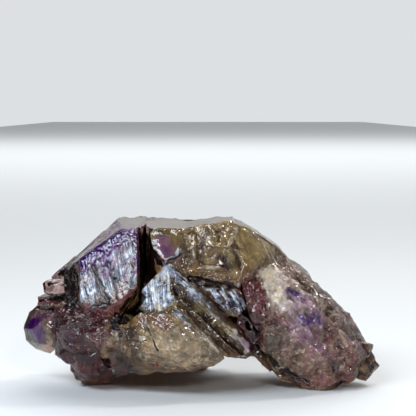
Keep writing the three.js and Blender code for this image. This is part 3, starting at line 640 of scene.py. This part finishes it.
def amethyst():
    """Smoky quartz: see-through brown under its growth colours. Its colour is the skin's tint under
    the painted glint of the window on its growth steps, cream and violet, times mottling and
    streaks, with umber and painted cleft shade over all. Each lies where its share of the skin plus
    a fine grain passes a limit, so its edge is ragged. Cracks and dark flecks darken the lumps, pale
    flecks lighten the speckled places, and small flat planes and steps bump the face."""
    material = bpy.data.materials.new("smoky_amethyst")
    material.use_nodes = True
    nodes, links = material.node_tree.nodes, material.node_tree.links
    shader = nodes["Principled BSDF"]
    shader.inputs["IOR"].default_value = 1.544
    shader.inputs["Specular IOR Level"].default_value = 0.32
    place = nodes.new("ShaderNodeTexCoord").outputs["Object"]

    def reads(name, output="Fac"):
        """One of the skin's own values."""
        node = nodes.new("ShaderNodeAttribute")
        node.attribute_name = name
        return node.outputs[output]

    def noise(scale, detail, source, output="Fac"):
        """Noise of a scale in cycles for each metre."""
        node = nodes.new("ShaderNodeTexNoise")
        node.inputs["Scale"].default_value = scale
        node.inputs["Detail"].default_value = detail
        node.inputs["Roughness"].default_value = 0.65
        links.new(source, node.inputs["Vector"])
        return node.outputs[output]

    def ranged(source, low, high, out_low, out_high):
        """A value stretched from one range to another."""
        node = nodes.new("ShaderNodeMapRange")
        node.inputs["From Min"].default_value = low
        node.inputs["From Max"].default_value = high
        node.inputs["To Min"].default_value = out_low
        node.inputs["To Max"].default_value = out_high
        links.new(source, node.inputs["Value"])
        return node.outputs["Result"]

    def together(kind, first, *others):
        """Values put together one after another by a sum, a product or a power."""
        for other in others:
            node = nodes.new("ShaderNodeMath")
            node.operation = kind
            links.new(first, node.inputs[0])
            links.new(other, node.inputs[1])
            first = node.outputs[0]
        return first

    def vectors(kind, first, other):
        """A vector changed by another, or scaled by a number."""
        node = nodes.new("ShaderNodeVectorMath")
        node.operation = kind
        links.new(first, node.inputs[0])
        if isinstance(other, tuple):
            node.inputs[1].default_value = other
        elif isinstance(other, float):
            node.inputs["Scale"].default_value = other
        else:
            links.new(other, node.inputs["Scale" if kind == "SCALE" else 1])
        return node.outputs["Vector"]

    def cells(scale, source, feature, distance="EUCLIDEAN"):
        """Cells, some to each metre along a side: the distance to their points or their edges."""
        node = nodes.new("ShaderNodeTexVoronoi")
        node.feature = feature
        node.distance = distance
        node.inputs["Scale"].default_value = scale
        links.new(source, node.inputs["Vector"])
        return node.outputs["Distance"]

    def laid(under, share, over):
        """One colour laid over another by a share."""
        node = nodes.new("ShaderNodeMix")
        node.data_type = "RGBA"
        links.new(share, node.inputs["Factor"])
        links.new(under, node.inputs["A"])
        if isinstance(over, tuple):
            node.inputs["B"].default_value = (*over, 1)
        else:
            links.new(over, node.inputs["B"])
        return node.outputs["Result"]

    mottle = noise(420, 6, place)
    streak = noise(1700, 4, reads("squeezed", "Vector"))
    fine = noise(3000, 4, place)
    grain = noise(800, 7, place)
    lumps = ranged(reads("glassy"), 0, 1, 1, 0.15)
    busy = ranged(reads("calm"), 0, 1, 1, 0.2)

    def ragged(name, low=0.36, high=0.6, torn=0.26):
        """A share of the skin whose soft edge is torn by the grain."""
        frayed = together("ADD", reads(name), ranged(grain, 0.4, 0.6, -torn, torn))
        return ranged(frayed, low, high, 0, 1)

    mottled = ranged(mottle, 0.36, 0.66, 0.55, 1.55)
    streaked = ranged(streak, 0.36, 0.64, 0.72, 1.3)
    grainy = ranged(fine, 0.35, 0.65, 0.85, 1.15)
    shade = together("POWER", together("MULTIPLY", mottled, streaked, grainy), busy)

    # Painted window reflection on the growth steps, from a dark slate between them to a white glint.
    broad = noise(620, 3, reads("squeezed", "Vector"))
    painted_glint_ramp = nodes.new("ShaderNodeValToRGB")
    stops = painted_glint_ramp.color_ramp.elements
    stops[0].position = 0.32
    stops[0].color = (0.01, 0.01, 0.02, 1)
    stops[1].position = 0.76
    stops[1].color = (0.9, 0.95, 1, 1)
    for position, shown in ((0.44, (0.06, 0.07, 0.15, 1)), (0.56, (0.24, 0.31, 0.44, 1))):
        stops.new(position).color = shown
    links.new(ranged(together("ADD", streak, broad, grain), 1.15, 1.85, 0, 1), painted_glint_ramp.inputs["Fac"])
    patches = ranged(noise(230, 4, place), 0.38, 0.52, 0.05, 1)
    colour = reads("tint", "Color")
    colour = laid(colour, together("MULTIPLY", ragged("painted_glint"), patches), painted_glint_ramp.outputs["Color"])
    for name, low, high in (("cream", 0.3, 0.7), ("violet", 0.2, 0.85)):
        colour = laid(colour, ragged(name, low, high), quartz[name])
    colour = vectors("SCALE", colour, shade)

    # Grains: pale and dark flecks, and broken cracks between two sizes of them.
    pale = ranged(noise(1500, 5, reads("squeezed", "Vector")), 0.54, 0.64, 0, 0.4)
    flecks = together("MULTIPLY", pale, reads("speckled"))
    colour = laid(colour, flecks, quartz["cream"])
    wander = vectors("SUBTRACT", noise(900, 3, place, "Color"), (0.5, 0.5, 0.5))
    astray = vectors("ADD", place, vectors("SCALE", wander, 1.6 * mm))
    big_cracks = ranged(cells(430, astray, "DISTANCE_TO_EDGE"), 0, 0.05, 0.6, 0)
    small_cracks = ranged(cells(1150, astray, "DISTANCE_TO_EDGE"), 0, 0.08, 0.3, 0)
    broken = ranged(noise(330, 3, place), 0.42, 0.56, 0, 1)
    cracks = together("MULTIPLY", together("MAXIMUM", big_cracks, small_cracks), broken, lumps, busy)
    colour = laid(colour, cracks, quartz["umber_and_shade"])
    dark = together("MULTIPLY", ranged(noise(1100, 6, place), 0.44, 0.36, 0, 0.5), lumps)
    colour = laid(colour, dark, quartz["umber_and_shade"])
    colour = laid(colour, ragged("umber_and_shade", 0.34, 0.66, 0.13), quartz["umber_and_shade"])

    links.new(colour, shader.inputs["Base Color"])
    links.new(reads("clear"), shader.inputs["Transmission Weight"])
    smoother = ranged(reads("glassy"), 0, 1, 0.13, 0.06)
    rubbed = ranged(fine, 0.3, 0.7, -0.04, 0.05)
    frost = ranged(reads("frosted"), 0, 1, 0, 0.4)
    links.new(together("ADD", smoother, rubbed, frost), shader.inputs["Roughness"])

    ridges = cells(1500, reads("squeezed", "Vector"), "F1", "CHEBYCHEV")
    planes = cells(850, place, "F1", "CHEBYCHEV")
    stepped = together("MULTIPLY", streak, ranged(reads("painted_glint"), 0, 1, 0.2, 2))
    bump = nodes.new("ShaderNodeBump")
    bump.inputs["Distance"].default_value = 0.3 * mm
    links.new(together("ADD", ridges, planes, stepped), bump.inputs["Height"])
    uneven = ranged(reads("glassy"), 0, 1, 0.75, 0.35)
    plain = ranged(reads("umber_and_shade"), 0, 1, 1, 0.75)
    links.new(together("MULTIPLY", uneven, plain, busy), bump.inputs["Strength"])
    links.new(bump.outputs["Normal"], shader.inputs["Normal"])

    absorb = nodes.new("ShaderNodeVolumeAbsorption")
    absorb.inputs["Color"].default_value = (0.7, 0.55, 0.42, 1)
    absorb.inputs["Density"].default_value = 110
    links.new(absorb.outputs["Volume"], nodes["Material Output"].inputs["Volume"])
    return material


stone.data.materials.append(amethyst())


# ---- what the stone grew round ----
# Healed cracks lie in the clear quartz as thin wavy veils. One grain of rust near the foot of the
# front lump is half sealed in it. They formed as the stone grew, and nothing else fixes them.

def veil(name, centre, along, across, half_length, half_width, thickness, seed):
    """A closed wavy lens in millimetres: the square of two parameters u and v from -1 to 1 is laid
    along two directions, waved by sines, and its two sides part by the thickness times the root
    of (1 - u*u)(1 - v*v), so that they meet all round the rim."""
    rows, columns = 33, 25
    u, v = np.meshgrid(np.linspace(-1, 1, rows), np.linspace(-1, 1, columns), indexing="ij")
    along = np.array(along) / np.linalg.norm(along)
    out = np.cross(along, across)
    out /= np.linalg.norm(out)
    across = np.cross(out, along)
    narrow = half_width * (0.75 + 0.25 * np.sin(3.1 * u + seed))
    wave = 0.35 * np.sin(4.1 * u + seed) + 0.25 * np.sin(5.3 * v + 2 * seed)
    gap = thickness * np.sqrt(np.maximum((1 - u**2) * (1 - v**2), 0))
    middle = np.array(centre) + (half_length * u)[..., None] * along + (narrow * v)[..., None] * across
    sides = [middle + (wave + sign * gap)[..., None] * out for sign in (1, -1)]
    places = np.concatenate([side.reshape(-1, 3) for side in sides])

    # Each cell is cut in two from its outer corner, so no two triangles lie on each other.
    number = np.arange(u.size).reshape(u.shape)
    cell = np.stack([number[:-1, :-1], number[1:, :-1], number[1:, 1:], number[:-1, 1:]])
    leaning = (u[:-1, :-1] + u[1:, 1:]) * (v[:-1, :-1] + v[1:, 1:]) < 0
    cell = np.where(leaning, np.roll(cell, -1, axis=0), cell).reshape(4, -1)
    upper = np.hstack([cell[[0, 1, 2]], cell[[0, 2, 3]]]).T
    rim = np.ones(u.shape, dtype=bool)
    rim[1:-1, 1:-1] = False
    under = np.where(rim, number, number + u.size).ravel()
    faces = np.vstack([upper, under[upper[:, ::-1]]])
    used, index = np.unique(faces, return_inverse=True)
    mesh = bpy.data.meshes.new(name)
    mesh.from_pydata((places[used] * mm).tolist(), [], index.reshape(faces.shape).tolist())
    mesh.polygons.foreach_set("use_smooth", np.ones(len(faces), dtype=bool))
    piece = bpy.data.objects.new(name, mesh)
    scene.collection.objects.link(piece)
    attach(piece, "root")
    return piece


def sealed(name, colour, other, scale, see_through):
    """A fine cloudy film: two colours mixed by noise, partly see-through."""
    material = bpy.data.materials.new(name)
    material.use_nodes = True
    nodes, links = material.node_tree.nodes, material.node_tree.links
    shader = nodes["Principled BSDF"]
    shader.inputs["Roughness"].default_value = 0.3
    shader.inputs["Transmission Weight"].default_value = see_through
    cloud = nodes.new("ShaderNodeTexNoise")
    cloud.inputs["Scale"].default_value = scale
    cloud.inputs["Detail"].default_value = 5
    links.new(nodes.new("ShaderNodeTexCoord").outputs["Object"], cloud.inputs["Vector"])
    mix = nodes.new("ShaderNodeMix")
    mix.data_type = "RGBA"
    mix.inputs["A"].default_value = (*colour, 1)
    mix.inputs["B"].default_value = (*other, 1)
    links.new(cloud.outputs["Fac"], mix.inputs["Factor"])
    links.new(mix.outputs["Result"], shader.inputs["Base Color"])
    return material


film = sealed("healed_crack", (0.75, 0.68, 0.6), (0.4, 0.3, 0.3), 1400, 0.6)
veils = {
    "head_veil": ((-22, -6, 27), (0.3, 0.2, 1), (1, 0.5, 0), 6, 3),
    "core_veil": ((2, -6, 30), (1, 0.1, -0.3), (0, 0.6, 1), 7, 3),
    "front_veil": ((-6, -14, 12), (1, -0.1, -0.3), (0, 0.3, 1), 6, 3),
    "lobe_veil": ((22, -7, 17), (0.7, -0.2, -0.7), (0.5, -0.3, 0.6), 7, 2.6),
    "tip_veil": ((-36, -1, 13), (0.4, 0, 1), (0, 1, 0.2), 2.6, 2),
}
film_thickness = 0.12
for seed, (name, (centre, along, across, half_length, half_width)) in enumerate(veils.items()):
    piece = veil(name, centre, along, across, half_length, half_width, film_thickness, seed)
    piece.data.materials.append(film)

# The rust grain sits on the front of the skin, nearest to a place across and up in millimetres.
grain_across, grain_up, front = -9.4, 7.8, -12
away = np.hypot(points[:, 0] / mm - grain_across, points[:, 2] / mm - grain_up)
grain_spot = np.argmin(np.where(points[:, 1] > front * mm, np.inf, away))
grain_centre = points[grain_spot] / mm + (0, 0.15, 0)
rust = sealed("rust_grain", (0.36, 0.045, 0.014), (0.2, 0.02, 0.008), 3000, 0)
rust_grain = veil("rust_grain", grain_centre, (1, 0, 0.3), (0, 0.2, 1), 0.6, 0.5, 0.45, 9)
rust_grain.data.materials.append(rust)


# ---- the table and the light ----
# A plain pale table under a bright overcast sky, with one wide window high on the left and a dark
# room behind the viewer, which the glassy faces mirror.

half_width, half_depth = 0.7, 6
table_top = bpy.data.meshes.new("table")
corners = [(x * half_width, y * half_depth, 0) for x, y in ((-1, -1), (1, -1), (1, 1), (-1, 1))]
table_top.from_pydata(corners, [], [(0, 1, 2, 3)])
table = bpy.data.objects.new("table", table_top)
scene.collection.objects.link(table)
pale_paint = bpy.data.materials.new("table")
pale_paint.use_nodes = True
shader = pale_paint.node_tree.nodes["Principled BSDF"]
shader.inputs["Base Color"].default_value = (0.71, 0.72, 0.73, 1)
shader.inputs["Roughness"].default_value = 0.8
table_top.materials.append(pale_paint)

world = bpy.data.worlds.new("studio")
scene.world = world
world.use_nodes = True
w_nodes, w_links = world.node_tree.nodes, world.node_tree.links
looking = w_nodes.new("ShaderNodeTexCoord").outputs["Generated"]
way = w_nodes.new("ShaderNodeSeparateXYZ")
w_links.new(looking, way.inputs["Vector"])


def sky_range(source, low, high, out_low, out_high):
    """A direction's share stretched from one range to another."""
    node = w_nodes.new("ShaderNodeMapRange")
    node.inputs["From Min"].default_value = low
    node.inputs["From Max"].default_value = high
    node.inputs["To Min"].default_value = out_low
    node.inputs["To Max"].default_value = out_high
    w_links.new(source, node.inputs["Value"])
    return node.outputs["Result"]


def sky_math(kind, first, second):
    """Two strengths put together by a product, or the larger of them."""
    node = w_nodes.new("ShaderNodeMath")
    node.operation = kind
    w_links.new(first, node.inputs[0])
    w_links.new(second, node.inputs[1])
    return node.outputs[0]


# The sky is bright near the horizon and behind the stone, brightest high behind it, and dark high
# in front. A dark card stands at the left above the horizon, and a dark flag further back, which
# the head's left facet mirrors.
behind = sky_range(way.outputs["Y"], -0.2, 0.25, 0.03, 0.76)
low_down = sky_range(way.outputs["Z"], 0.2, 0.11, 0.03, 0.76)
overcast = sky_range(way.outputs["Z"], 0.25, 0.6, 1, 1.9)
left_card = sky_range(way.outputs["X"], -0.4, -0.1, 0.03, 1)
above_card = sky_range(way.outputs["Z"], 0.11, 0.16, 1, 0)
towards = w_nodes.new("ShaderNodeVectorMath")
towards.operation = "DOT_PRODUCT"
towards.inputs[1].default_value = (-0.78, 0.6, 0.15)
w_links.new(looking, towards.inputs[0])
dark_flag = sky_range(towards.outputs["Value"], 0.86, 0.94, 1, 0.04)
sky = sky_math("MAXIMUM", behind, low_down)
for factor in (overcast, sky_math("MAXIMUM", left_card, above_card), dark_flag):
    sky = sky_math("MULTIPLY", sky, factor)
w_links.new(sky, w_nodes["Background"].inputs["Strength"])
w_nodes["Background"].inputs["Color"].default_value = (0.95, 0.98, 1, 1)


def softbox(name, place, target, width, height, power, colour):
    """A rectangular lamp at a place, turned to its target."""
    lamp = bpy.data.lights.new(name, "AREA")
    lamp.shape = "RECTANGLE"
    lamp.size = width
    lamp.size_y = height
    lamp.energy = power
    lamp.color = colour
    made = bpy.data.objects.new(name, lamp)
    made.location = place
    made.rotation_euler = (Vector(target) - Vector(place)).to_track_quat("-Z", "Y").to_euler()
    scene.collection.objects.link(made)


softbox("window_left", (-0.2, -0.25, 0.27), (-0.005, 0, 0.02), 0.32, 0.09, 1.5, (0.82, 0.91, 1))
softbox("lamp_front", (0.09, -0.42, 0.2), (0, 0, 0.015), 0.05, 0.05, 0.5, (1, 0.97, 0.92))
softbox("lamp_behind", (0, 1.6, 1.2), (0, 1.4, 0), 2.2, 1.2, 22, (0.95, 0.98, 1))
softbox("lamp_right", (0.24, 0.12, 0.34), (0.005, 0, 0.02), 0.05, 0.05, 0.5, (1, 0.97, 0.9))


# ---- the camera ----
# A long lens stands about 330 mm in front of the stone and 65 mm up, tipped a few degrees down.

tipped_down = 4.11
camera = bpy.data.cameras.new("camera")
camera.sensor_width = 36
camera.lens = 120.98
scene.camera = bpy.data.objects.new("camera", camera)
scene.collection.objects.link(scene.camera)
scene.camera.location = (0.00165, -0.3268, 0.0649)
scene.camera.rotation_euler = (math.radians(90 - tipped_down), 0, 0)
